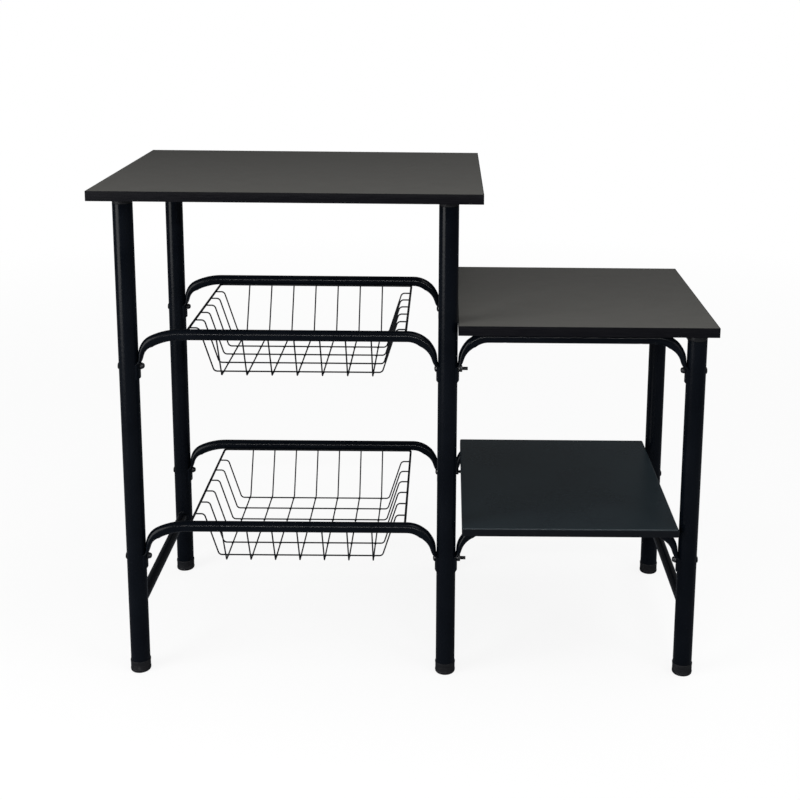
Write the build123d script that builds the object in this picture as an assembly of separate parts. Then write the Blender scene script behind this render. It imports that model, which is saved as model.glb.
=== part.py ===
from build123d import *
from math import cos, sin, sqrt, radians
import os

# A black kitchen stand in two sections that stand side by side and share their middle legs.
# The tall section on the left holds a top board and two wire baskets. The low section on the
# right holds a low board and a folded sheet shelf. All lengths are millimetres.
# +X runs from the tall section to the low one, -Y is the front, and Z is 0 on the floor.

# Legs: round steel tube, in a front row and a back row.
leg_diameter = 32.0
leg_wall = 1.2
tall_leg_spacing = 518.0
low_leg_spacing = 405.0
row_spacing = 376.0

# Heights above the floor of what the legs and arches carry.
top_board_height = 817.0
low_board_height = 600.0
shelf_height = 269.0

# Boards and sheet shelf. Overhangs are measured from the leg axes.
top_board_thickness = 16.0
top_board_left_overhang = 46.0
top_board_right_overhang = 54.0
top_board_row_overhang = 45.0
low_board_thickness = 16.0
low_board_right_overhang = 31.0
low_board_front_overhang = 25.0
low_board_back_overhang = 19.0
low_board_leg_gap = 0.5
board_edge_radius = 0.8
shelf_sheet = 1.2
shelf_flange = 14.0
shelf_left_gap = 10.0
shelf_right_gap = 4.0
shelf_front_overhang = 23.0
shelf_back_overhang = 12.0
shelf_fold_radius = 2.4
shelf_corner_radius = 3.0

# Cross arches: small tube, bent down at both ends and flattened there to hug the legs.
tube_diameter = 18.0
tube_wall = 1.2
bend_radius = 41.0
wide_bend_radius = 26.0
wide_bend_ease_radius = 110.0
wide_bend_ease_angle = 25.0
neck_start_angle = 50.0
neck_steps = 4
neck_foot_gap = 0.4
neck_foot_thickness = 8.8
neck_foot_width = 20.4
bolt_seat_radius = 6.5
neck_end_drop = 58.0
strap_thickness = 2.6
strap_width = 22.0
strap_end_drop = 83.0
strap_end_slant = 25.0
bolt_drop = 62.0
arch_leg_gap = 0.1

# Side stretchers: the same small tube, from a front leg to the back leg behind it.
low_stretcher_height = 115.0

# Plastic foot caps and leg plugs.
foot_diameter = 34.0
foot_height = 20.0
foot_floor = 4.0
foot_bottom_radius = 2.6
foot_lip_radius = 0.8
plug_collar_height = 10.0
plug_collar_edge_radius = 1.2
plug_barrel_length = 25.0
plug_barrel_wall = 2.6
plastic_fit = 0.1

# Bolts through the legs, along X.
bolt_diameter = 6.0
bolt_hole_diameter = 6.5
bolt_head_diameter = 12.0
bolt_head_height = 3.2
bolt_head_edge_radius = 2.6
low_head_diameter = 11.0
low_head_height = 1.8
low_head_edge_radius = 1.4
bolt_tip_chamfer = 0.8
bolt_thread_beyond_nut = 9.0
nut_across_flats = 10.0
nut_thickness = 5.0
cap_nut_base = 3.0
cap_nut_dome_diameter = 9.4
cap_nut_dome_height = 4.0
cap_nut_dome_radius = 3.4
cap_nut_thread_depth = 5.5
cap_nut_bottom_gap = 0.5

# Screws into the boards.
screw_diameter = 4.0
screw_bite = 11.0
screw_point = 3.0
plug_screw_head_diameter = 8.0
plug_screw_head_height = 2.5
board_screw_head_diameter = 7.0
board_screw_head_height = 2.0
board_screw_access_diameter = 9.0
board_screw_spacing = 220.0

# Wire baskets. The rim's side gaps are measured from the legs' near faces.
rim_wire_diameter = 4.0
rim_corner_radius = 6.0
rim_left_gap = 70.0
rim_right_gap = 54.0
rim_below_axis = 7.0
basket_wire_diameter = 2.5
basket_ledge = 16.0
basket_side_run = 24.0
basket_row_run = 43.0
basket_depth = 75.0
long_wire_bend = 7.0
cross_wire_bend = 4.0
long_wire_count = 6
long_wire_pitch = 49.0
cross_wire_count = 7
cross_wire_pitch = 42.0
weld_sink = 0.35

# Worked-out places that several pieces share.
leg_radius = leg_diameter / 2
tube_radius = tube_diameter / 2
front_y = -row_spacing / 2
back_y = row_spacing / 2
overall_width = (
    top_board_left_overhang + tall_leg_spacing + low_leg_spacing + low_board_right_overhang
)
left_x = top_board_left_overhang - overall_width / 2
middle_x = left_x + tall_leg_spacing
right_x = middle_x + low_leg_spacing
tall_tube_top = top_board_height - plug_collar_height
low_tube_top = low_board_height - plug_collar_height
upper_bolt_height = low_board_height - bolt_drop
lower_bolt_height = shelf_height - bolt_drop
bolt_heights = (upper_bolt_height, lower_bolt_height)
arch_seat_radius = leg_radius + arch_leg_gap
strap_reach = arch_seat_radius + strap_thickness
board_screw_middle = (middle_x + right_x) / 2
board_screw_places = (
    board_screw_middle - board_screw_spacing / 2,
    board_screw_middle + board_screw_spacing / 2,
)

# Each leg: its place in plan and the height where its tube ends.
legs = {
    "front_left": (left_x, front_y, tall_tube_top),
    "back_left": (left_x, back_y, tall_tube_top),
    "front_middle": (middle_x, front_y, tall_tube_top),
    "back_middle": (middle_x, back_y, tall_tube_top),
    "front_right": (right_x, front_y, low_tube_top),
    "back_right": (right_x, back_y, low_tube_top),
}
rows = {"front": front_y, "back": back_y}


def upright(radius, low, high):
    """A round bar on the Z axis between two heights."""
    return Pos(0, 0, low) * Cylinder(radius, high - low, align=(Align.CENTER, Align.CENTER, Align.MIN))


def along_x(radius, start, end, y, z):
    """A round bar along X between two places."""
    bar = Cylinder(radius, end - start, align=(Align.CENTER, Align.CENTER, Align.MIN))
    return Pos(start, y, z) * Rot(0, 90, 0) * bar


def along_y(radius, start, end, x, z):
    """A round bar along Y between two places."""
    bar = Cylinder(radius, end - start, align=(Align.CENTER, Align.CENTER, Align.MIN))
    return Pos(x, start, z) * Rot(-90, 0, 0) * bar


def leg(x, y, top):
    """Leg tube with a cross hole at each bolt."""
    tube = upright(leg_radius, foot_floor, top) - upright(leg_radius - leg_wall, foot_floor, top)
    tube = Pos(x, y, 0) * tube
    for height in bolt_heights:
        tube -= along_x(bolt_hole_diameter / 2, x - leg_diameter, x + leg_diameter, y, height)
    return tube


def foot_cap(x, y):
    """Plastic cap over the bottom end of a leg."""
    body = upright(foot_diameter / 2, 0, foot_height)
    body = fillet(body.edges().group_by(Axis.Z)[0], foot_bottom_radius)
    body = fillet(body.edges().group_by(Axis.Z)[-1], foot_lip_radius)
    body -= upright(leg_radius + plastic_fit, foot_floor, foot_height)
    return Pos(x, y, 0) * body


def leg_plug(x, y, top):
    """Plastic plug: a barrel inside the tube and a collar between the tube and its board."""
    collar = upright(leg_radius, top, top + plug_collar_height)
    collar = fillet(collar.edges().group_by(Axis.Z)[0], plug_collar_edge_radius)
    barrel_radius = leg_radius - leg_wall - plastic_fit
    barrel = upright(barrel_radius, top - plug_barrel_length, top + plug_collar_edge_radius)
    barrel -= upright(barrel_radius - plug_barrel_wall, top - plug_barrel_length, top)
    plug = collar + barrel
    plug -= upright(screw_diameter / 2, top, top + plug_collar_height)
    return Pos(x, y, 0) * plug


def wood_screw(seat, length, head_diameter, head_height):
    """Screw that points up, with its head hanging below the seat."""
    shank_end = seat + length - screw_point
    point = Cone(screw_diameter / 2, 0.3, screw_point, align=(Align.CENTER, Align.CENTER, Align.MIN))
    head = upright(head_diameter / 2, seat - head_height, seat)
    head = fillet(head.edges().group_by(Axis.Z)[0], head_height / 2)
    return head + upright(screw_diameter / 2, seat, shank_end) + Pos(0, 0, shank_end) * point


def plug_screw(x, y, top):
    """Screw through a plug's collar into the board above it."""
    length = plug_collar_height + screw_bite
    return Pos(x, y, 0) * wood_screw(top, length, plug_screw_head_diameter, plug_screw_head_height)


def board_screw_seat():
    """Height at which a screw head meets the inside of an arch tube under the low board."""
    inner = tube_radius - tube_wall
    axis = low_board_height - tube_radius
    return axis + sqrt(inner**2 - (board_screw_head_diameter / 2) ** 2)


def board_screw(x, y):
    """Screw from inside an arch tube up into the low board."""
    seat = board_screw_seat()
    length = low_board_height - seat + screw_bite
    return Pos(x, y, 0) * wood_screw(seat, length, board_screw_head_diameter, board_screw_head_height)


def board(x_low, x_high, y_low, y_high, bottom, thickness):
    """Flat board with softened edges."""
    size = Box(x_high - x_low, y_high - y_low, thickness, align=(Align.MIN, Align.MIN, Align.MIN))
    return fillet((Pos(x_low, y_low, bottom) * size).edges(), board_edge_radius)


def pilot_hole(x, y, bottom):
    """The hole that a screw makes in a board's underside, to the shape of its point."""
    straight = screw_bite - screw_point
    point = Cone(screw_diameter / 2, 0.3, screw_point, align=(Align.CENTER, Align.CENTER, Align.MIN))
    hole = upright(screw_diameter / 2, bottom, bottom + straight) + Pos(0, 0, bottom + straight) * point
    return Pos(x, y, 0) * hole


def top_board():
    """Board of the tall section, on the plugs of its four legs."""
    piece = board(
        left_x - top_board_left_overhang,
        middle_x + top_board_right_overhang,
        front_y - top_board_row_overhang,
        back_y + top_board_row_overhang,
        top_board_height,
        top_board_thickness,
    )
    for x, y, top in legs.values():
        if top == tall_tube_top:
            piece -= pilot_hole(x, y, top_board_height)
    return piece


def low_board():
    """Board of the low section, on two arches and the plugs of the right legs."""
    piece = board(
        middle_x + leg_radius + low_board_leg_gap,
        right_x + low_board_right_overhang,
        front_y - low_board_front_overhang,
        back_y + low_board_back_overhang,
        low_board_height,
        low_board_thickness,
    )
    for y in rows.values():
        piece -= pilot_hole(right_x, y, low_board_height)
        for x in board_screw_places:
            piece -= pilot_hole(x, y, low_board_height)
    return piece


def sheet_shelf():
    """Sheet shelf with its four edges folded down over the two arches that it lies on."""
    width = low_leg_spacing - leg_diameter - shelf_left_gap - shelf_right_gap
    depth = row_spacing + shelf_front_overhang + shelf_back_overhang
    top = shelf_height + shelf_sheet
    low = (Align.CENTER, Align.CENTER, Align.MAX)
    outer = Box(width, depth, shelf_flange, align=low)
    outer = fillet(outer.edges().filter_by(Axis.Z), shelf_corner_radius)
    outer = fillet(outer.edges().group_by(Axis.Z)[-1], shelf_fold_radius)
    inner = Box(width - 2 * shelf_sheet, depth - 2 * shelf_sheet, shelf_flange, align=low)
    inner = fillet(inner.edges().filter_by(Axis.Z), shelf_corner_radius - shelf_sheet)
    inner = fillet(inner.edges().group_by(Axis.Z)[-1], shelf_fold_radius - shelf_sheet)
    shell = outer - Pos(0, 0, -shelf_sheet) * inner
    centre_x = middle_x + leg_radius + shelf_left_gap + width / 2
    centre_y = front_y - shelf_front_overhang + depth / 2
    return Pos(centre_x, centre_y, top) * shell


def bend_foot(wide):
    """Radius of an arch's bend at its foot, and how far the foot lies below the arch's axis."""
    if not wide:
        return bend_radius, bend_radius
    turn = radians(90 - wide_bend_ease_angle)
    return wide_bend_radius, wide_bend_radius * sin(turn) + wide_bend_ease_radius * (1 - sin(turn))


def neck_start(top, wide):
    """Where the round tube ends in its bend: distance from the leg's axis, and height."""
    radius, drop = bend_foot(wide)
    turned = radians(neck_start_angle)
    reach = arch_seat_radius + tube_radius + radius * (1 - cos(turned))
    return reach, top - tube_radius - drop + radius * sin(turned)


def arch_path(left_axis, right_axis, top, wide_left):
    """Centre line of an arch in X and Z, from the neck at its left end to the one at its right."""
    turned = radians(neck_start_angle)
    reach, height = neck_start(top, wide_left)
    start = (left_axis + reach, height)
    rising = (sin(turned), cos(turned))
    if wide_left:
        tight_angle = 90 - wide_bend_ease_angle - neck_start_angle
        tight = JernArc(start, rising, wide_bend_radius, -tight_angle)
        left_pieces = [tight, JernArc(tight @ 1, tight % 1, wide_bend_ease_radius, -wide_bend_ease_angle)]
    else:
        left_pieces = [JernArc(start, rising, bend_radius, neck_start_angle - 90)]
    right_start = right_axis - arch_seat_radius - tube_radius - bend_radius
    level = Line(left_pieces[-1] @ 1, (right_start, top - tube_radius))
    turn_down = JernArc(level @ 1, level % 1, bend_radius, neck_start_angle - 90)
    return Wire(left_pieces + [level, turn_down])


def swept_bar(path, radius):
    """A round bar along a path."""
    section = Plane(origin=path @ 0, z_dir=path % 0) * Circle(radius)
    return sweep(section, path=path)


def tilted(reach, height, angle):
    """Plane across an arch's end: at a distance from the leg's axis, leaning out by an angle."""
    lean = radians(angle)
    across = (cos(lean), 0, -sin(lean))
    return Plane(origin=(reach, 0, height), x_dir=across, z_dir=(sin(lean), 0, cos(lean)))


def neck_section(top, wide, step):
    """Section across an arch's neck, flatter step by step; its side next to the leg follows the bend."""
    radius, drop = bend_foot(wide)
    share = step / neck_steps
    angle = neck_start_angle * (1 - share)
    thickness = tube_diameter + (neck_foot_thickness - tube_diameter) * share
    width = tube_diameter + (neck_foot_width - tube_diameter) * share
    arm = radius + tube_radius - thickness / 2 - neck_foot_gap * share
    reach = arch_seat_radius + tube_radius + radius - arm * cos(radians(angle))
    height = top - tube_radius - drop + arm * sin(radians(angle))
    plane = tilted(reach, height, angle)
    if step == 0:
        return plane * Circle(tube_radius)
    return plane * Ellipse(thickness / 2, width / 2)


def arch_end(top, wide):
    """Neck and flattened strap of an arch, on the +X side of a leg that stands on the Z axis."""
    squash = arch_seat_radius - strap_width / 8
    end = top - neck_end_drop
    flat_section = Pos(squash, 0, end) * Ellipse(strap_reach - squash, strap_width / 2)
    neck = loft([flat_section] + [neck_section(top, wide, step) for step in range(neck_steps, -1, -1)])
    strap_low = top - strap_end_drop
    leg_space = Rot(0, 0, 90) * upright(arch_seat_radius, strap_low - 1, top)
    strap = Rot(0, 0, 90) * upright(strap_reach, strap_low, end)
    side_box = Box(leg_diameter, strap_width, strap_end_drop, align=(Align.MIN, Align.CENTER, Align.MIN))
    strap &= Pos(0, 0, strap_low) * side_box
    standing = (Align.CENTER, Align.CENTER, Align.MIN)
    slanted = Box(leg_diameter * 2, leg_diameter * 2, strap_end_drop, align=standing)
    strap &= Pos(arch_seat_radius, 0, strap_low) * Rot(0, -strap_end_slant, 0) * slanted
    piece = neck + strap - leg_space
    piece -= along_x(bolt_seat_radius, strap_reach, leg_diameter * 2, 0, top - bolt_drop)
    return piece - along_x(bolt_hole_diameter / 2, -leg_diameter, leg_diameter, 0, top - bolt_drop)


def arch(left_axis, right_axis, y, top, wide_left):
    """Cross arch between the two legs of one row."""
    path = Pos(0, y, 0) * (Plane.XZ * arch_path(left_axis, right_axis, top, wide_left))
    tube = swept_bar(path, tube_radius) - swept_bar(path, tube_radius - tube_wall)
    left_end = Pos(left_axis, y, 0) * arch_end(top, wide_left)
    right_end = Pos(right_axis, y, 0) * Rot(0, 0, 180) * arch_end(top, False)
    return tube + left_end + right_end


def low_upper_arch(y):
    """Arch under the low board, with the holes of the board's screws."""
    piece = arch(middle_x, right_x, y, low_board_height, False)
    axis_height = low_board_height - tube_radius
    for x in board_screw_places:
        piece -= Pos(x, y, 0) * upright(screw_diameter / 2, axis_height, low_board_height)
        access = upright(board_screw_access_diameter / 2, axis_height - tube_diameter, axis_height)
        piece -= Pos(x, y, 0) * access
    return piece


def stretcher(x, z):
    """Side tube from a front leg to the back leg behind it, its ends cut to the legs' round."""
    tube = along_y(tube_radius, front_y, back_y, x, z)
    tube -= along_y(tube_radius - tube_wall, front_y, back_y, x, z)
    for y in rows.values():
        tube -= Pos(x, y, 0) * upright(leg_radius, z - leg_diameter, z + leg_diameter)
    return tube


def bolt(head_x, direction, grip, y, z, head_size):
    """Bolt along X. The head's underside is at head_x and the shank runs in direction."""
    diameter, height, edge_radius = head_size
    head = upright(diameter / 2, -height, 0)
    head = fillet(head.edges().group_by(Axis.Z)[0], edge_radius)
    shank = upright(bolt_diameter / 2, 0, grip)
    shank = chamfer(shank.edges().group_by(Axis.Z)[-1], bolt_tip_chamfer)
    return Pos(head_x, y, z) * Rot(0, 90 * direction, 0) * (head + shank)


def outer_bolt(axis, side, y, z):
    """Bolt of an outer leg: a low head on the outside, and its tip in the cap nut on the arch."""
    grip = leg_radius + strap_reach + cap_nut_thread_depth - cap_nut_bottom_gap
    head_size = (low_head_diameter, low_head_height, low_head_edge_radius)
    return bolt(axis - side * leg_radius, side, grip, y, z, head_size)


def middle_bolt(y, z):
    """Dome-head bolt of a middle leg, which holds an arch on each side of it."""
    grip = 2 * strap_reach + nut_thickness + bolt_thread_beyond_nut
    head_size = (bolt_head_diameter, bolt_head_height, bolt_head_edge_radius)
    return bolt(middle_x - strap_reach, 1, grip, y, z, head_size)


def hexagon(height):
    """Hexagonal nut body on the Z axis."""
    return extrude(RegularPolygon(nut_across_flats / 2, 6, major_radius=False), height)


def hex_nut(y, z):
    """Nut on the right side of a middle leg."""
    nut = hexagon(nut_thickness) - upright(bolt_diameter / 2, 0, nut_thickness)
    return Pos(middle_x + strap_reach, y, z) * Rot(0, 90, 0) * nut


def cap_nut(axis, side, y, z):
    """Domed nut on the arch's end at an outer leg."""
    dome = upright(cap_nut_dome_diameter / 2, 0, cap_nut_base + cap_nut_dome_height)
    dome = fillet(dome.edges().group_by(Axis.Z)[-1], cap_nut_dome_radius)
    nut = hexagon(cap_nut_base) + dome - upright(bolt_diameter / 2, 0, cap_nut_thread_depth)
    return Pos(axis + side * strap_reach, y, z) * Rot(0, 90 * side, 0) * nut


def basket(arch_top):
    """Welded wire basket between the front arch and the back arch of one level."""
    axis_height = arch_top - tube_radius
    rim_height = axis_height - rim_below_axis
    rim_reach = sqrt((tube_radius + rim_wire_diameter / 2) ** 2 - rim_below_axis**2)
    rim_depth = row_spacing - 2 * rim_reach
    rim_width = tall_leg_spacing - leg_diameter - rim_left_gap - rim_right_gap
    centre_x = left_x + leg_radius + rim_left_gap + rim_width / 2
    rim_path = RectangleRounded(rim_width, rim_depth, rim_corner_radius).wire()
    rim_start = Plane(origin=rim_path @ 0, z_dir=rim_path % 0)
    rim = sweep(rim_start * Circle(rim_wire_diameter / 2), path=rim_path)
    wires = [rim]
    half_width = rim_width / 2
    floor_half_width = half_width - basket_ledge - basket_side_run
    long_route = [
        (-half_width, 0),
        (-half_width + basket_ledge, 0),
        (-floor_half_width, -basket_depth),
        (floor_half_width, -basket_depth),
        (half_width - basket_ledge, 0),
        (half_width, 0),
    ]
    long_path = Plane.XZ * FilletPolyline(*long_route, radius=long_wire_bend)
    long_wire = swept_bar(long_path, basket_wire_diameter / 2)
    for index in range(long_wire_count):
        y = (index - (long_wire_count - 1) / 2) * long_wire_pitch
        wires.append(Pos(0, y, 0) * long_wire)
    half_depth = rim_depth / 2
    cross_drop = basket_depth + basket_wire_diameter - weld_sink
    cross_route = [
        (-half_depth, 0),
        (-half_depth + basket_row_run, -cross_drop),
        (half_depth - basket_row_run, -cross_drop),
        (half_depth, 0),
    ]
    cross_path = Plane.YZ * FilletPolyline(*cross_route, radius=cross_wire_bend)
    cross_wire = swept_bar(cross_path, basket_wire_diameter / 2)
    for index in range(cross_wire_count):
        x = (index - (cross_wire_count - 1) / 2) * cross_wire_pitch
        wires.append(Pos(x, 0, 0) * cross_wire)
    welded = wires[0].fuse(*wires[1:])
    return Pos(centre_x, 0, rim_height) * welded


def save(name, piece):
    """Write one piece, or a group of like pieces, to its own file."""
    export_step(piece, f"parts/{name}.step")


def save_legs():
    """Legs, with the cap and the plug of each."""
    for name, (x, y, top) in legs.items():
        save(f"{name}_leg", leg(x, y, top))
        save(f"{name}_foot", foot_cap(x, y))
        save(f"{name}_plug", leg_plug(x, y, top))


def save_cross_members():
    """Arches of both sections and the side stretchers."""
    for name, y in rows.items():
        save(f"tall_upper_{name}_arch", arch(left_x, middle_x, y, low_board_height, True))
        save(f"tall_lower_{name}_arch", arch(left_x, middle_x, y, shelf_height, True))
        save(f"low_upper_{name}_arch", low_upper_arch(y))
        save(f"low_lower_{name}_arch", arch(middle_x, right_x, y, shelf_height, False))
    save("left_stretcher", stretcher(left_x, low_stretcher_height))
    save("middle_stretcher", stretcher(middle_x, low_stretcher_height))
    save("right_stretcher", stretcher(right_x, low_stretcher_height))
    save("upper_right_stretcher", stretcher(right_x, low_tube_top - tube_radius))


def save_fasteners():
    """Bolts, nuts and screws, each kind as one group."""
    outer_bolts = []
    cap_nuts = []
    middle_bolts = []
    hex_nuts = []
    for y in rows.values():
        for z in bolt_heights:
            for axis, side in ((left_x, 1), (right_x, -1)):
                outer_bolts.append(outer_bolt(axis, side, y, z))
                cap_nuts.append(cap_nut(axis, side, y, z))
            middle_bolts.append(middle_bolt(y, z))
            hex_nuts.append(hex_nut(y, z))
    save("outer_leg_bolts", Compound(outer_bolts))
    save("cap_nuts", Compound(cap_nuts))
    save("middle_leg_bolts", Compound(middle_bolts))
    save("hex_nuts", Compound(hex_nuts))
    save("plug_screws", Compound([plug_screw(x, y, top) for x, y, top in legs.values()]))
    board_screws = [board_screw(x, y) for x in board_screw_places for y in rows.values()]
    save("board_screws", Compound(board_screws))


def main():
    """Write every piece of the stand."""
    os.makedirs("parts", exist_ok=True)
    save_legs()
    save_cross_members()
    save("top_board", top_board())
    save("low_board", low_board())
    save("sheet_shelf", sheet_shelf())
    save("upper_basket", basket(low_board_height))
    save("lower_basket", basket(shelf_height))
    save_fasteners()


main()
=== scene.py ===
import bmesh
import bpy
import math
from mathutils import Matrix, Vector


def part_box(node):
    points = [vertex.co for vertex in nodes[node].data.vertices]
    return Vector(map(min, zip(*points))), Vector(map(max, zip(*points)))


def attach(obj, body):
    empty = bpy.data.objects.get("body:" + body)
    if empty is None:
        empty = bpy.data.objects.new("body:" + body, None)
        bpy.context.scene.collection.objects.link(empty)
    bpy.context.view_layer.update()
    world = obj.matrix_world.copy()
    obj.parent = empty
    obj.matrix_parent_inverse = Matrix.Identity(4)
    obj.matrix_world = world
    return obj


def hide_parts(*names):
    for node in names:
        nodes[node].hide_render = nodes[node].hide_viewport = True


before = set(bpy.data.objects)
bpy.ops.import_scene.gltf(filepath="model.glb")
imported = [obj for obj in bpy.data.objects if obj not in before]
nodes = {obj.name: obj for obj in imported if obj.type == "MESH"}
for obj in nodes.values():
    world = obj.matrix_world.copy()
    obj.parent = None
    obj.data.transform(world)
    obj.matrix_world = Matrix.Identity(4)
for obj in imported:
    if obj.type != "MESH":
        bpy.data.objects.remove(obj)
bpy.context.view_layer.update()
print("frame loaded with", len(nodes), "nodes")


class Wired:
    # a socket in one node tree; sums on it add Math nodes
    def __init__(self, tree, socket=None):
        self.tree = tree
        self.socket = socket

    def node(self, kind, settings=None, inputs=None, out=0):
        made = self.tree.nodes.new(kind)
        for key, value in (settings or {}).items():
            if key == "stops":
                ramp = made.color_ramp
                while len(ramp.elements) < len(value):
                    ramp.elements.new(0.5)
                for stop, (place, shade) in zip(ramp.elements, value):
                    stop.position = place
                    stop.color = shade if isinstance(shade, tuple) else (shade, shade, shade, 1)
            else:
                setattr(made, key, value)
        for key, value in (inputs or {}).items():
            if isinstance(value, Wired):
                self.tree.links.new(value.socket, made.inputs[key])
            else:
                made.inputs[key].default_value = value
        return Wired(self.tree, made.outputs[out])

    def maths(self, operation, first, second):
        return self.node("ShaderNodeMath", {"operation": operation}, {0: first, 1: second})

    def __add__(self, other):
        return self.maths("ADD", self, other)

    def __radd__(self, other):
        return self.maths("ADD", other, self)

    def __sub__(self, other):
        return self.maths("SUBTRACT", self, other)

    def __rsub__(self, other):
        return self.maths("SUBTRACT", other, self)

    def __mul__(self, other):
        return self.maths("MULTIPLY", self, other)

    def __rmul__(self, other):
        return self.maths("MULTIPLY", other, self)

    def __truediv__(self, other):
        return self.maths("DIVIDE", self, other)

    def __gt__(self, other):
        return self.maths("GREATER_THAN", self, other)


def newFinish(name, fixed):
    # a Principled material with its plain values set on the shader itself
    material = bpy.data.materials.new(name)
    material.use_nodes = True
    tree = material.node_tree
    shader = tree.nodes["Principled BSDF"]
    for key, value in fixed.items():
        shader.inputs[key].default_value = value
    wire = Wired(tree)
    place = wire.node("ShaderNodeTexCoord", out="Object")
    return material, shader, wire, place


def plug(shader, key, value):
    value.tree.links.new(value.socket, shader.inputs[key])


def grain(wire, place, size, detail=3.0, roughness=0.5, stretch=None):
    # noise with lumps about as wide as size, in metres, from 0 to 1
    if stretch:
        place = wire.node("ShaderNodeMapping", inputs={"Vector": place, "Scale": stretch})
    return wire.node(
        "ShaderNodeTexNoise",
        inputs={"Vector": place, "Scale": 1.0 / size, "Detail": detail, "Roughness": roughness},
    )


def spread(wire, value, low, high, newLow, newHigh):
    return wire.node(
        "ShaderNodeMapRange",
        {"clamp": True},
        {"Value": value, "From Min": low, "From Max": high, "To Min": newLow, "To Max": newHigh},
    )


def blend(wire, amount, first, second):
    return wire.node("ShaderNodeMix", {"data_type": "RGBA"}, {0: amount, 6: first, 7: second}, out=2)


def bump(wire, height, distance, strength=1.0, under=None):
    inputs = {"Height": height, "Distance": distance, "Strength": strength}
    if under:
        inputs["Normal"] = under
    return wire.node("ShaderNodeBump", inputs=inputs)


def powderCoat(name, look):
    # coat on tube, wire and sheet: a soft orange peel, fine specks, wiped patches and a little dust
    material, shader, wire, place = newFinish(
        name,
        {"Metallic": 0.0, "IOR": 1.5, "Specular IOR Level": look["specular"]},
    )
    cloud = grain(wire, place, look["wipedPatch"], 4.0)
    peel = grain(wire, place, look["peelSize"], 2.0)
    speck = grain(wire, place, look["speckSize"], 3.0, 0.6)
    dust = spread(wire, grain(wire, place, look["dustSize"], 2.0), 0.70, 0.78, 0.0, 1.0)
    paint = blend(wire, spread(wire, cloud, 0.35, 0.7, 0.0, 1.0), look["dark"], look["worn"])
    if "paintedFlangeShade" in look:
        # painted shade: the flanges below the top are darkened only to stand in for the shade they
        # lie in
        height = wire.node("ShaderNodeSeparateXYZ", inputs={0: place}, out="Z")
        low, high = look["foldTop"] - look["foldDeep"], look["foldTop"] - look["foldStart"]
        below = spread(wire, height, low, high, 1.0, 0.0)
        paint = blend(wire, below, paint, look["paintedFlangeShade"])
    plug(shader, "Base Color", blend(wire, dust * look["dustAmount"], paint, look["dust"]))
    rough = spread(wire, cloud, 0.3, 0.7, look["smooth"], look["dull"])
    plug(shader, "Roughness", rough + dust * look["dustRough"] + (speck - 0.5) * look["speckRough"])
    under = bump(wire, peel, look["peelDepth"])
    plug(shader, "Normal", bump(wire, speck, look["speckDepth"], 0.6, under))
    return material


tubeCoatLook = {
    "specular": 0.12,
    "wipedPatch": 0.075, "peelSize": 0.0042, "peelDepth": 0.00013,
    "speckSize": 0.0008, "speckDepth": 0.00002,
    "dustSize": 0.0016, "dustAmount": 0.14, "dust": (0.060, 0.070, 0.085, 1),
    "dustRough": 0.2, "speckRough": 0.12,
    "dark": (0.0011, 0.0018, 0.0032, 1), "worn": (0.0020, 0.0030, 0.0050, 1),
    "smooth": 0.17, "dull": 0.27,
}
wireCoatLook = {
    "specular": 0.12,
    "wipedPatch": 0.04, "peelSize": 0.0026, "peelDepth": 0.00016,
    "speckSize": 0.0006, "speckDepth": 0.00002,
    "dustSize": 0.0012, "dustAmount": 0.15, "dust": (0.08, 0.085, 0.09, 1),
    "dustRough": 0.2, "speckRough": 0.12,
    "dark": (0.0030, 0.0036, 0.0050, 1), "worn": (0.0060, 0.0068, 0.0086, 1),
    "smooth": 0.30, "dull": 0.46,
}
shelfCoatLook = {
    "specular": 0.32,
    "wipedPatch": 0.11, "peelSize": 0.0055, "peelDepth": 0.00009,
    "speckSize": 0.0009, "speckDepth": 0.00002,
    "dustSize": 0.0015, "dustAmount": 0.2, "dust": (0.12, 0.13, 0.14, 1),
    "dustRough": 0.2, "speckRough": 0.12,
    "dark": (0.0105, 0.0170, 0.0215, 1), "worn": (0.0145, 0.0225, 0.0275, 1),
    "smooth": 0.24, "dull": 0.36,
    # painted shade: the darker colour given to the flanges below the shelf's top
    "paintedFlangeShade": (0.0010, 0.0018, 0.0034, 1), "foldTop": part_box("sheet_shelf")[1].z,
    "foldDeep": 0.003, "foldStart": 0.0006,
}


def mattBoardTop():
    # matt board top, guessed to be printed: dark and light flecks, a faint long grain, soft clouds
    look = {
        "base": (0.068, 0.067, 0.062, 1), "light": (0.102, 0.101, 0.095, 1),
        "shade": (0.050, 0.049, 0.046, 1), "flecked": 0.45, "clouded": 0.25,
        "fleck": 0.0007, "fibre": 0.0032, "cloud": 0.12, "dull": 0.62, "sheen": 0.50, "pore": 0.00004,
    }
    fixed = {"Specular IOR Level": 0.2, "IOR": 1.5}
    material, shader, wire, place = newFinish("mattGreyBoard", fixed)
    fleck = grain(wire, place, look["fleck"], 3.0, 0.65)
    fibre = grain(wire, place, look["fibre"], 4.0, 0.6, (0.10, 1.0, 1.0))
    cloud = grain(wire, place, look["cloud"], 3.0)
    pattern = spread(wire, fleck * 0.6 + fibre * 0.4, 0.36, 0.66, 0.0, 1.0)
    flecks = blend(wire, pattern, look["shade"], look["light"])
    tone = blend(wire, look["flecked"], look["base"], flecks)
    faded = spread(wire, cloud, 0.35, 0.7, 0.0, look["clouded"])
    plug(shader, "Base Color", blend(wire, faded, tone, look["base"]))
    rough = spread(wire, cloud * 0.5 + fibre * 0.5, 0.35, 0.65, look["sheen"], look["dull"])
    plug(shader, "Roughness", rough)
    plug(shader, "Normal", bump(wire, fleck * 0.5 + fibre * 0.5, look["pore"], 0.8))
    return material


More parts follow.
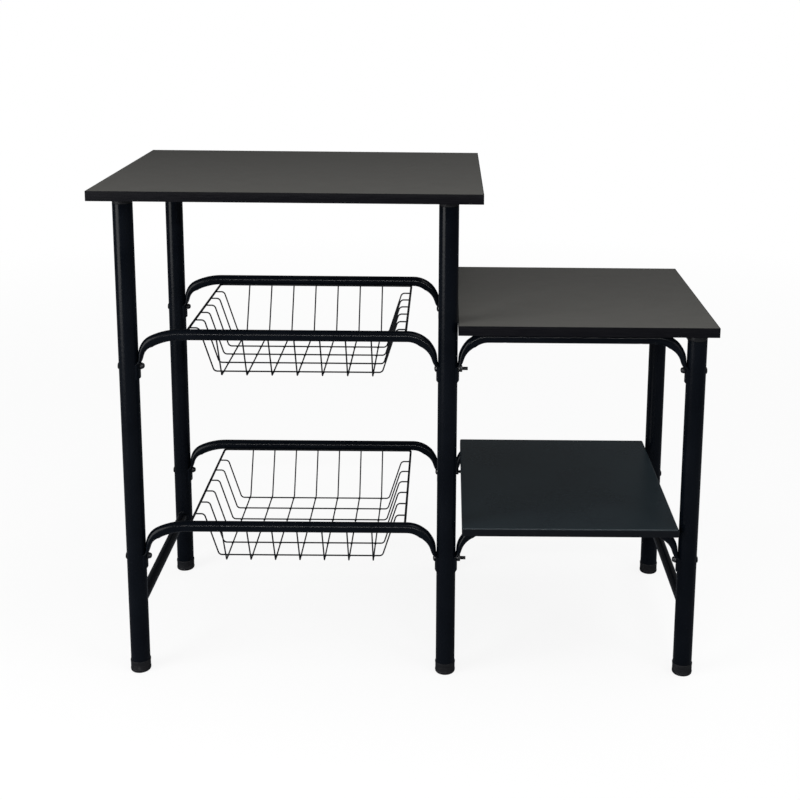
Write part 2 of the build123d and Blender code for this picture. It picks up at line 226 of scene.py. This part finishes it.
def blackEdging():
    # glued edge strip: smoother than the top, with drawn lines along it and small nicks
    look = {
        "base": (0.0030, 0.0030, 0.0042, 1), "line": (0.0052, 0.0052, 0.0066, 1),
        "fine": 0.0009, "nick": 0.004, "depth": 0.00004,
        "smooth": 0.32, "dull": 0.46, "nickRough": 0.15,
    }
    fixed = {"Specular IOR Level": 0.06, "IOR": 1.5}
    material, shader, wire, place = newFinish("blackEdgeStrip", fixed)
    drawn = grain(wire, place, look["fine"], 3.0, 0.6, (0.04, 0.04, 1.0))
    nick = spread(wire, grain(wire, place, look["nick"], 2.0), 0.68, 0.76, 0.0, 1.0)
    lined = spread(wire, drawn, 0.4, 0.7, 0.0, 1.0)
    plug(shader, "Base Color", blend(wire, lined, look["base"], look["line"]))
    rough = spread(wire, drawn, 0.3, 0.7, look["smooth"], look["dull"])
    plug(shader, "Roughness", rough + nick * look["nickRough"])
    plug(shader, "Normal", bump(wire, drawn - nick * 0.5, look["depth"], 0.7))
    return material


def mouldedPlastic():
    # fine spark texture of a moulded cap, scuffed to grey in places
    look = {
        "base": (0.0070, 0.0074, 0.0088, 1), "scuff": (0.030, 0.031, 0.033, 1), "scuffed": 0.55,
        "spark": 0.0006, "patch": 0.010, "depth": 0.00005, "smooth": 0.38, "dull": 0.58,
    }
    fixed = {"Specular IOR Level": 0.2, "IOR": 1.49}
    material, shader, wire, place = newFinish("mouldedBlackPlastic", fixed)
    spark = grain(wire, place, look["spark"], 2.0, 0.6)
    patch = grain(wire, place, look["patch"], 4.0, 0.65)
    scuffed = spread(wire, patch, 0.58, 0.78, 0.0, look["scuffed"])
    plug(shader, "Base Color", blend(wire, scuffed, look["base"], look["scuff"]))
    rough = spread(wire, patch, 0.3, 0.7, look["smooth"], look["dull"])
    plug(shader, "Roughness", rough + (spark - 0.5) * 0.1)
    plug(shader, "Normal", bump(wire, spark, look["depth"], 0.8))
    return material


def blackenedSteel():
    # black coated bolt: dark metal with small brighter patches, scattered by noise
    look = {
        "base": (0.012, 0.013, 0.016, 1), "rubbed": (0.16, 0.16, 0.165, 1), "rubbing": 0.6,
        "patch": 0.0022, "fine": 0.0005, "depth": 0.00003, "smooth": 0.26, "dull": 0.42,
    }
    fixed = {"Specular IOR Level": 0.5, "IOR": 1.6}
    material, shader, wire, place = newFinish("blackenedBolt", fixed)
    patch = grain(wire, place, look["patch"], 4.0, 0.6)
    fine = grain(wire, place, look["fine"], 2.0)
    rub = spread(wire, patch, 0.60, 0.74, 0.0, look["rubbing"])
    plug(shader, "Base Color", blend(wire, rub, look["base"], look["rubbed"]))
    plug(shader, "Metallic", spread(wire, patch, 0.45, 0.75, 0.35, 0.9))
    plug(shader, "Roughness", spread(wire, fine, 0.3, 0.7, look["smooth"], look["dull"]))
    plug(shader, "Normal", bump(wire, fine, look["depth"], 0.7))
    return material


def brightZinc():
    # zinc screw: pale metal with small blotches of passivation
    look = {
        "base": (0.52, 0.53, 0.55, 1), "blotch": (0.62, 0.58, 0.46, 1), "blotched": 0.7,
        "patch": 0.0018, "fine": 0.0004, "depth": 0.00002, "smooth": 0.24, "dull": 0.40,
    }
    material, shader, wire, place = newFinish("brightZinc", {"Metallic": 1.0})
    patch = grain(wire, place, look["patch"], 3.0)
    fine = grain(wire, place, look["fine"], 2.0)
    blotched = spread(wire, patch, 0.45, 0.7, 0.0, look["blotched"])
    plug(shader, "Base Color", blend(wire, blotched, look["base"], look["blotch"]))
    plug(shader, "Roughness", spread(wire, fine, 0.3, 0.7, look["smooth"], look["dull"]))
    plug(shader, "Normal", bump(wire, fine, look["depth"], 0.6))
    return material


finishes = {
    "black_tube": powderCoat("blackTubeCoat", tubeCoatLook),
    "black_wire": powderCoat("blackWireCoat", wireCoatLook),
    "shelf_sheet": powderCoat("darkShelfCoat", shelfCoatLook),
    "grey_board": mattBoardTop(),
    "board_edge": blackEdging(),
    "black_plastic": mouldedPlastic(),
    "black_bolt": blackenedSteel(),
    "zinc_screw": brightZinc(),
}
print("finishes mixed:", ", ".join(finishes))


def dress(nodeName, slotName):
    mesh = nodes[nodeName].data
    mesh.materials.clear()
    mesh.materials.append(finishes[slotName])


for nodeName in nodes:
    if nodeName.endswith(("_foot", "_plug")):
        dress(nodeName, "black_plastic")
    elif nodeName.endswith("_basket"):
        dress(nodeName, "black_wire")
    elif nodeName.endswith(("_bolts", "_nuts")):
        dress(nodeName, "black_bolt")
    elif nodeName.endswith("_screws"):
        dress(nodeName, "zinc_screw")
    elif nodeName.endswith("_board"):
        dress(nodeName, "grey_board")
    elif nodeName == "sheet_shelf":
        dress(nodeName, "shelf_sheet")
    else:
        dress(nodeName, "black_tube")
print("nodes dressed")


def clearAll():
    if bpy.context.object and bpy.context.object.mode != "OBJECT":
        bpy.ops.object.mode_set(mode="OBJECT")
    bpy.ops.object.select_all(action="DESELECT")


def choose(kind, test):
    # in edit mode: selects the vertices, edges or faces that pass the test
    bpy.ops.mesh.select_all(action="DESELECT")
    bpy.ops.mesh.select_mode(type=kind)
    data = bpy.context.object.data
    mesh = bmesh.from_edit_mesh(data)
    for part in {"VERT": mesh.verts, "EDGE": mesh.edges, "FACE": mesh.faces}[kind]:
        if test(part):
            part.select_set(True)
    bmesh.update_edit_mesh(data)


def turned(outline, sides):
    # a ring at the outline's first point, extruded and resized from point to point, both ends closed
    clearAll()
    radius, height = outline[0]
    bpy.ops.mesh.primitive_circle_add(vertices=sides, radius=radius, location=(0, 0, 0))
    bpy.ops.object.mode_set(mode="EDIT")
    bpy.ops.mesh.select_all(action="SELECT")
    bpy.ops.transform.translate(value=(0, 0, height))
    bpy.ops.mesh.edge_face_add()
    bpy.ops.mesh.select_mode(type="EDGE")
    for newRadius, newHeight in outline[1:]:
        bpy.ops.mesh.extrude_region_move(TRANSFORM_OT_translate={"value": (0, 0, newHeight - height)})
        grow = newRadius / radius
        bpy.ops.transform.resize(value=(grow, grow, 1), center_override=(0, 0, newHeight))
        radius, height = newRadius, newHeight
    bpy.ops.mesh.select_all(action="SELECT")
    bpy.ops.mesh.remove_doubles(threshold=0.000005)
    bpy.ops.mesh.normals_make_consistent(inside=False)
    bpy.ops.object.mode_set(mode="OBJECT")
    return bpy.context.object


def block(low, high, softness, steps):
    # a block between two corners, its edges rounded over
    clearAll()
    bpy.ops.mesh.primitive_cube_add(size=1, location=(low + high) / 2)
    piece = bpy.context.object
    piece.scale = high - low
    bpy.ops.object.transform_apply(location=False, rotation=False, scale=True)
    bpy.ops.object.mode_set(mode="EDIT")
    bpy.ops.mesh.select_all(action="SELECT")
    bpy.ops.mesh.bevel(offset=softness, segments=steps, affect="EDGES", profile=0.5)
    bpy.ops.mesh.normals_make_consistent(inside=False)
    bpy.ops.object.mode_set(mode="OBJECT")
    return piece


def repeated(model, places):
    # copies of the model, each with its own mesh, joined into one piece; the model is used up
    clearAll()
    for place in places:
        twin = model.copy()
        twin.data = model.data.copy()
        bpy.context.scene.collection.objects.link(twin)
        twin.matrix_world = place
        twin.select_set(True)
        bpy.context.view_layer.objects.active = twin
    bpy.data.objects.remove(model)
    bpy.ops.object.join()
    return bpy.context.object


def settle(piece, name, finishName, slotName, *replaced):
    # the place goes into the mesh; the piece gets its finish and rides on the stand
    clearAll()
    piece.select_set(True)
    bpy.context.view_layer.objects.active = piece
    bpy.ops.object.transform_apply(location=True, rotation=True, scale=True)
    bpy.ops.object.shade_smooth_by_angle(angle=math.radians(32))
    piece.name = name
    piece.data.name = name
    piece.data.materials.clear()
    piece.data.materials.append(finishes[finishName])
    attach(piece, "root")
    if replaced:
        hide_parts(*replaced)
    return piece


def centreOf(nodeName):
    low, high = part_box(nodeName)
    return (low + high) / 2


def towardsX(place, direction):
    # turns a piece modelled along +Z so that it points along X
    return Matrix.Translation(place) @ Matrix.Rotation(direction * math.pi / 2, 4, "Y")


legNames = [row + "_" + side for row in ("front", "back") for side in ("left", "middle", "right")]
legAxis = {name: centreOf(name + "_leg") for name in legNames}
archTop = {
    "upper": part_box("low_upper_front_arch")[1].z,
    "lower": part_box("low_lower_front_arch")[1].z,
}


def edgedBoard(nodeName, label):
    settings = {"strip": 0.0010, "coreSoft": 0.00012, "stripSoft": 0.00036, "joint": 0.00010}
    low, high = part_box(nodeName)
    strip = settings["strip"]
    inset = Vector((strip, strip, 0))
    core = block(low + inset, high - inset, settings["coreSoft"], 2)
    settle(core, label + "Core", "grey_board", "grey_board", nodeName)
    joint = settings["joint"]
    strips = {
        "Front": (low, Vector((high.x, low.y + strip - joint, high.z))),
        "Back": (Vector((low.x, high.y - strip + joint, low.z)), high),
        "Left": (
            Vector((low.x, low.y + strip, low.z)),
            Vector((low.x + strip - joint, high.y - strip, high.z)),
        ),
        "Right": (
            Vector((high.x - strip + joint, low.y + strip, low.z)),
            Vector((high.x, high.y - strip, high.z)),
        ),
    }
    for side, (lowCorner, highCorner) in strips.items():
        edge = block(lowCorner, highCorner, settings["stripSoft"], 3)
        settle(edge, label + side + "Strip", "board_edge", "grey_board")


edgedBoard("top_board", "topBoard")
edgedBoard("low_board", "lowBoard")
print("boards edged")


def footCaps():
    settings = {"radius": 0.0170, "height": 0.020, "sides": 72, "groove": 0.0003, "bead": 0.0004}
    wide = settings["radius"]
    groove = settings["groove"]
    body = wide - settings["bead"]
    tall = settings["height"]
    outline = [
        (wide * 0.60, 0.0016), (wide * 0.62, 0.0003), (wide * 0.66, 0.0), (wide * 0.86, 0.0),
        (wide * 0.93, 0.0005), (wide * 0.98, 0.0016), (wide, 0.0032), (wide, 0.0048), (body, 0.0054),
        (body, 0.0078), (body - groove, 0.0081), (body - groove, 0.0085), (body, 0.0088),
        (body, 0.0112), (body - groove, 0.0115), (body - groove, 0.0119), (body, 0.0122),
        (body, 0.0160), (wide - 0.0001, 0.0166), (wide, 0.0174), (wide, 0.0190),
        (wide - 0.0002, 0.0197),
        (wide - 0.0006, tall), (0.01615, tall), (0.01606, 0.0194), (0.01602, 0.0060),
    ]
    model = turned(outline, settings["sides"])
    for name in legNames:
        axis = legAxis[name]
        cap = repeated(model.copy(), [Matrix.Translation((axis.x, axis.y, 0))])
        settle(cap, name + "FootCap", "black_plastic", "black_plastic", name + "_foot")
    bpy.data.objects.remove(model)


def plugCollars():
    settings = {"radius": 0.0160, "height": 0.010, "sides": 72}
    wide = settings["radius"]
    tall = settings["height"]
    outline = [
        (wide * 0.80, -0.0200), (wide * 0.90, -0.0196), (wide * 0.915, -0.0004),
        (wide * 0.93, -0.0001), (wide - 0.0009, 0.0), (wide - 0.0004, 0.0002),
        (wide - 0.0001, 0.0007), (wide, 0.0013), (wide, 0.0044), (wide - 0.00015, 0.0046),
        (wide - 0.00015, 0.0049), (wide, 0.0051), (wide, 0.0094),
        (wide - 0.0002, 0.0098), (wide - 0.0006, tall), (wide * 0.5, tall),
    ]
    model = turned(outline, settings["sides"])
    for name in legNames:
        axis = legAxis[name]
        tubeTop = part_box(name + "_plug")[1].z - tall
        collar = repeated(model.copy(), [Matrix.Translation((axis.x, axis.y, tubeTop))])
        settle(collar, name + "PlugCollar", "black_plastic", "black_plastic", name + "_plug")
    bpy.data.objects.remove(model)


footCaps()
plugCollars()
print("foot caps and plug collars turned")


hardware = {
    "strapReach": 0.0187, "legRadius": 0.016, "boltDrop": 0.062, "acrossFlats": 0.010,
    "nutThick": 0.005, "nutCorner": 0.0008, "capThick": 0.003, "capCorner": 0.0007, "tail": 0.009,
}


def threadedTail():
    # the thread that stands beyond a nut: separate rings, not a helix, with a chamfered tip
    settings = {"pitch": 0.001, "crest": 0.0030, "root": 0.00262, "sides": 28}
    outline = [(settings["root"], -0.0015)]
    turns = int(hardware["tail"] / settings["pitch"])
    for turn in range(turns):
        base = turn * settings["pitch"]
        outline += [(settings["root"], base + 0.00012), (settings["crest"], base + 0.00044),
                    (settings["crest"], base + 0.00056), (settings["root"], base + 0.00088)]
    outline.append((settings["root"] * 0.98, hardware["tail"] - 0.0002))
    outline.append((settings["root"] * 0.78, hardware["tail"]))
    return turned(outline, settings["sides"])


def hexNut(across, thick, corner):
    # six-sided body, its corners cut, its edges eased and a shallow recess in each face
    clearAll()
    cornerRadius = across / 2 / math.cos(math.pi / 6)
    bpy.ops.mesh.primitive_cylinder_add(
        vertices=6, radius=cornerRadius, depth=thick, location=(0, 0, thick / 2),
    )
    piece = bpy.context.object
    bpy.ops.object.transform_apply(location=True, rotation=True, scale=True)
    bpy.ops.object.mode_set(mode="EDIT")
    bpy.ops.mesh.select_all(action="SELECT")
    bpy.ops.mesh.bevel(offset=corner, segments=1, affect="VERTICES")
    bpy.ops.mesh.select_all(action="SELECT")
    bpy.ops.mesh.bevel(offset=0.00012, segments=2, affect="EDGES")
    choose("FACE", lambda face: abs(face.normal.z) > 0.99 and face.calc_area() > 0.00003)
    bpy.ops.mesh.inset(thickness=0.0012, depth=0)
    bpy.ops.mesh.inset(thickness=0.0004, depth=-0.0004)
    bpy.ops.object.mode_set(mode="OBJECT")
    return piece


def socketHead():
    # low button head with a six-sided socket
    outline = [
        (0.0055, 0.0), (0.0055, 0.0004), (0.0053, 0.0008), (0.0047, 0.00125),
        (0.0038, 0.00155), (0.0026, 0.00172), (0.0012, 0.0018),
    ]
    head = turned(outline, 48)
    bpy.ops.mesh.primitive_cylinder_add(
        vertices=6, radius=0.0020, depth=0.003, location=(0, 0, 0.0024),
    )
    cutter = bpy.context.object
    clearAll()
    bpy.context.view_layer.objects.active = head
    cut = head.modifiers.new("socket", "BOOLEAN")
    cut.operation = "DIFFERENCE"
    cut.solver = "EXACT"
    cut.object = cutter
    bpy.ops.object.modifier_apply(modifier=cut.name)
    bpy.data.objects.remove(cutter)
    return head


def fasteners():
    reach = hardware["strapReach"]
    heads, caps, domes, tails, nuts = [], [], [], [], []
    for name in legNames:
        axis = legAxis[name]
        for level in archTop.values():
            height = level - hardware["boltDrop"]
            if name.endswith("middle"):
                domes.append(towardsX((axis.x - reach, axis.y, height), -1))
                spin = Matrix.Rotation(0.3 + 0.9 * len(nuts), 4, "Z")
                nuts.append(towardsX((axis.x + reach, axis.y, height), 1) @ spin)
                nutFace = axis.x + reach + hardware["nutThick"]
                tails.append(towardsX((nutFace, axis.y, height), 1))
            else:
                side = 1 if name.endswith("left") else -1
                spin = Matrix.Rotation(0.4 * len(heads), 4, "Z")
                outside = axis.x - side * hardware["legRadius"]
                heads.append(towardsX((outside, axis.y, height), -side) @ spin)
                spin = Matrix.Rotation(0.7 * len(caps), 4, "Z")
                caps.append(towardsX((axis.x + side * reach, axis.y, height), side) @ spin)
    finish = "black_bolt"
    settle(repeated(socketHead(), heads), "outerBoltHeads", finish, finish, "outer_leg_bolts")
    across = hardware["acrossFlats"]
    capBody = repeated(hexNut(across, hardware["capThick"], hardware["capCorner"]), caps)
    capDome = turned([
        (0.0049, 0.0024), (0.0048, 0.0031), (0.0047, 0.0038), (0.0044, 0.0049),
        (0.0037, 0.0059), (0.0025, 0.0066), (0.0010, 0.00695),
    ], 40)
    settle(capBody, "capNutBodies", finish, finish, "cap_nuts")
    settle(repeated(capDome, caps), "capNutDomes", finish, finish)
    dome = turned([
        (0.0060, 0.0), (0.0060, 0.0005), (0.0057, 0.0012), (0.0050, 0.0019),
        (0.0038, 0.0026), (0.0024, 0.0030), (0.0010, 0.0032),
    ], 44)
    settle(repeated(dome, domes), "middleBoltHeads", finish, finish, "middle_leg_bolts")
    settle(repeated(threadedTail(), tails), "middleBoltThreads", finish, finish)
    nutBody = hexNut(across, hardware["nutThick"], hardware["nutCorner"])
    settle(repeated(nutBody, nuts), "middleHexNuts", finish, finish, "hex_nuts")


fasteners()
print("bolts and nuts made")


def saddleBead(axis, height, inward):
    # the rippled bead where a side tube meets a leg, laid on the leg's round
    settings = {"ring": 0.0095, "bead": 0.0015, "ripples": 26, "ripple": 0.00022, "legRadius": 0.016}
    clearAll()
    bpy.ops.mesh.primitive_torus_add(
        major_radius=settings["ring"], minor_radius=settings["bead"],
        major_segments=104, minor_segments=10, rotation=(math.pi / 2, 0, 0), location=(0, 0, 0),
    )
    piece = bpy.context.object
    bpy.ops.object.transform_apply(location=True, rotation=True, scale=True)
    for vertex in piece.data.vertices:
        around = math.atan2(vertex.co.z, vertex.co.x)
        ring = Vector((math.cos(around), 0, math.sin(around))) * settings["ring"]
        wave = math.sin(settings["ripples"] * around) + 0.6 * math.sin(7 * around + 1)
        swell = 1 + settings["ripple"] / settings["bead"] * wave
        place = ring + (vertex.co - ring) * swell
        legFace = math.sqrt(max(settings["legRadius"] ** 2 - place.x ** 2, 0))
        vertex.co = (axis.x + place.x, axis.y + inward * (legFace + place.y), height + place.z)
    piece.data.update()
    return piece


def stretcherBeads():
    for place in ("left", "middle", "right", "upper_right"):
        nodeName = place + "_stretcher"
        middle = centreOf(nodeName)
        side = place.split("_")[-1]
        beads = [
            saddleBead(legAxis["front_" + side], middle.z, 1),
            saddleBead(legAxis["back_" + side], middle.z, -1),
        ]
        clearAll()
        for bead in beads:
            bead.select_set(True)
        bpy.context.view_layer.objects.active = beads[0]
        bpy.ops.object.join()
        bpy.ops.object.mode_set(mode="EDIT")
        bpy.ops.mesh.select_all(action="SELECT")
        bpy.ops.mesh.normals_make_consistent(inside=False)
        bpy.ops.object.mode_set(mode="OBJECT")
        settle(bpy.context.object, nodeName.replace("_", "") + "Beads", "black_tube", "black_tube")


def weldNugget(length, radius, rings):
    # a small rounded weld, lying along X
    step = length / rings
    outline = []
    for ring in range(rings + 1):
        along = -1 + 2 * ring / rings
        swell = 1 + 0.08 * math.sin(ring * 2.4)
        taper = max(math.sqrt(1 - 0.94 * along * along), 0.2)
        outline.append((radius * taper * swell, ring * step - length / 2))
    piece = turned(outline, 10)
    piece.rotation_euler = (0, math.pi / 2, 0)
    bpy.ops.object.transform_apply(location=True, rotation=True, scale=True)
    return piece


def spacedRows(middle, count, pitch):
    return [middle + (n - (count - 1) / 2) * pitch for n in range(count)]


def basketWelds(level, label):
    settings = {
        "rimRadius": 0.002, "depth": 0.075, "longPitch": 0.049, "longCount": 6,
        "crossPitch": 0.042, "crossCount": 7, "wire": 0.0025, "sink": 0.00035,
        "tube": 0.009, "below": 0.007, "seamDrop": 0.0012,
        "seamShares": (-0.86, -0.42, 0.05, 0.47, 0.88),
    }
    low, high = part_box(level + "_basket")
    rimHeight = high.z - settings["rimRadius"]
    middle = (low + high) / 2
    halfWide = (high.x - low.x) / 2 - settings["rimRadius"]
    halfDeep = (high.y - low.y) / 2 - settings["rimRadius"]
    floorJoint = rimHeight - settings["depth"] - (settings["wire"] - settings["sink"]) / 2
    longRows = spacedRows(middle.y, settings["longCount"], settings["longPitch"])
    crossRows = spacedRows(middle.x, settings["crossCount"], settings["crossPitch"])
    spots = [(x, y, floorJoint) for x in crossRows for y in longRows]
    spots += [(middle.x + side * halfWide, y, rimHeight) for side in (-1, 1) for y in longRows]
    spots += [(x, middle.y + side * halfDeep, rimHeight) for side in (-1, 1) for x in crossRows]
    welds = repeated(weldNugget(0.0044, 0.00185, 5), [Matrix.Translation(spot) for spot in spots])
    settle(welds, label + "WireWelds", "black_wire", "black_wire")
    # the longer welds between the rim and the two arches, their number and places guessed
    touch = settings["tube"] / (settings["tube"] + settings["rimRadius"])
    lines = []
    for side in (-1, 1):
        rimPlace = Vector((0, middle.y + side * halfDeep, rimHeight))
        reach = settings["tube"] + settings["rimRadius"]
        across = math.sqrt(reach ** 2 - settings["below"] ** 2)
        tubePlace = Vector((0, rimPlace.y + side * across, rimHeight + settings["below"]))
        seam = tubePlace + (rimPlace - tubePlace) * touch - Vector((0, 0, settings["seamDrop"]))
        for share in settings["seamShares"]:
            lines.append(Matrix.Translation((middle.x + share * halfWide, seam.y, seam.z)))
    welds = repeated(weldNugget(0.016, 0.0019, 9), lines)
    settle(welds, label + "ArchWelds", "black_tube", "black_tube")


stretcherBeads()
basketWelds("upper", "upperBasket")
basketWelds("lower", "lowerBasket")
print("welds laid")


def paleFloor():
    # a white floor that keeps the stand's soft shadow and runs out to plain white
    settings = {
        "size": 60.0, "base": (0.90, 0.90, 0.90, 1), "inGloss": (0.16, 0.17, 0.19, 1),
        "nearWhite": 0.86, "near": 0.8, "far": 3.5,
    }
    bpy.ops.mesh.primitive_plane_add(size=settings["size"], location=(0, 0, 0))
    floor = bpy.context.object
    floor.name = "paleFloor"
    fixed = {"Roughness": 0.9, "Base Color": settings["base"]}
    material, shader, wire, place = newFinish("paleFloor", fixed)
    distance = wire.node("ShaderNodeVectorMath", {"operation": "LENGTH"}, {0: place}, out="Value")
    seen = wire.node("ShaderNodeLightPath", out="Is Camera Ray")
    through = wire.node("ShaderNodeLightPath", out="Is Transmission Ray")
    amount = spread(wire, distance, settings["near"], settings["far"], settings["nearWhite"], 1.0)
    white = wire.node("ShaderNodeEmission", inputs={"Color": (1, 1, 1, 1), "Strength": 1.0})
    output = wire.tree.nodes["Material Output"]
    # only for the look: reflections on the stand see a much darker floor than the camera does
    gloss = wire.node("ShaderNodeLightPath", out="Is Glossy Ray")
    dark = wire.node("ShaderNodeBsdfDiffuse", inputs={"Color": settings["inGloss"]})
    lit = Wired(wire.tree, shader.outputs[0])
    plain = wire.node("ShaderNodeMixShader", inputs={0: gloss, 1: lit, 2: dark})
    shown = (seen + through) * amount
    mixed = wire.node("ShaderNodeMixShader", inputs={0: shown, 1: plain, 2: white})
    wire.tree.links.new(mixed.socket, output.inputs["Surface"])
    floor.data.materials.append(material)


def studioWorld():
    # white to the camera, a grey room as light, and a much darker room in reflections
    settings = {"room": 0.43, "inGloss": 0.10}
    world = bpy.data.worlds.new("studio")
    bpy.context.scene.world = world
    world.use_nodes = True
    wire = Wired(world.node_tree)
    camera = wire.node("ShaderNodeLightPath", out="Is Camera Ray")
    gloss = wire.node("ShaderNodeLightPath", out="Is Glossy Ray")
    through = wire.node("ShaderNodeLightPath", out="Is Transmission Ray")
    other = 1.0 - camera - gloss - through
    strength = camera + through + gloss * settings["inGloss"] + other * settings["room"]
    ground = world.node_tree.nodes["Background"]
    ground.inputs["Color"].default_value = (1, 1, 1, 1)
    world.node_tree.links.new(strength.socket, ground.inputs["Strength"])


def softBox(name, place, aim, width, height, watts):
    bpy.ops.object.light_add(type="AREA", location=place)
    lamp = bpy.context.object
    lamp.name = name
    lamp.data.shape = "RECTANGLE"
    lamp.data.size = width
    lamp.data.size_y = height
    lamp.data.energy = watts
    lamp.rotation_mode = "QUATERNION"
    lamp.rotation_quaternion = (Vector(aim) - Vector(place)).to_track_quat("-Z", "Y")


def camera():
    settings = {
        "place": (0.0611, -2.1797, 1.1705), "lookDown": 0.19446, "turn": -0.0071874, "tilt": 0.010417,
        "lens": 57.41, "shiftX": -0.0703, "shiftY": -0.2206,
    }
    eye = bpy.data.cameras.new("camera")
    body = bpy.data.objects.new("camera", eye)
    bpy.context.scene.collection.objects.link(body)
    eye.sensor_width = 36.0
    eye.lens = settings["lens"]
    eye.shift_x = settings["shiftX"]
    eye.shift_y = settings["shiftY"]
    eye.dof.use_dof = False
    aimed = (
        Matrix.Rotation(settings["turn"], 4, "Z")
        @ Matrix.Rotation(math.pi / 2 - settings["lookDown"], 4, "X")
        @ Matrix.Rotation(settings["tilt"], 4, "Z")
    )
    body.matrix_world = Matrix.Translation(settings["place"]) @ aimed
    bpy.context.scene.camera = body


bpy.ops.object.select_all(action="DESELECT")
paleFloor()
studioWorld()
softBox("overhead", (1.1, -0.3, 2.9), (0.35, 0, 0.6), 2.2, 1.8, 34)
softBox("leftBank", (-2.0, -1.35, 1.05), (-0.1, 0, 0.55), 1.30, 2.1, 44)
softBox("frontLine", (0.06, -2.45, 1.45), (0.06, 0, 0.5), 2.4, 0.06, 26)
softBox("rightFill", (2.3, -1.9, 1.5), (0.1, 0, 0.5), 0.5, 1.5, 7)
camera()
bpy.context.scene.view_settings.view_transform = "Standard"
print("floor, light and camera set")
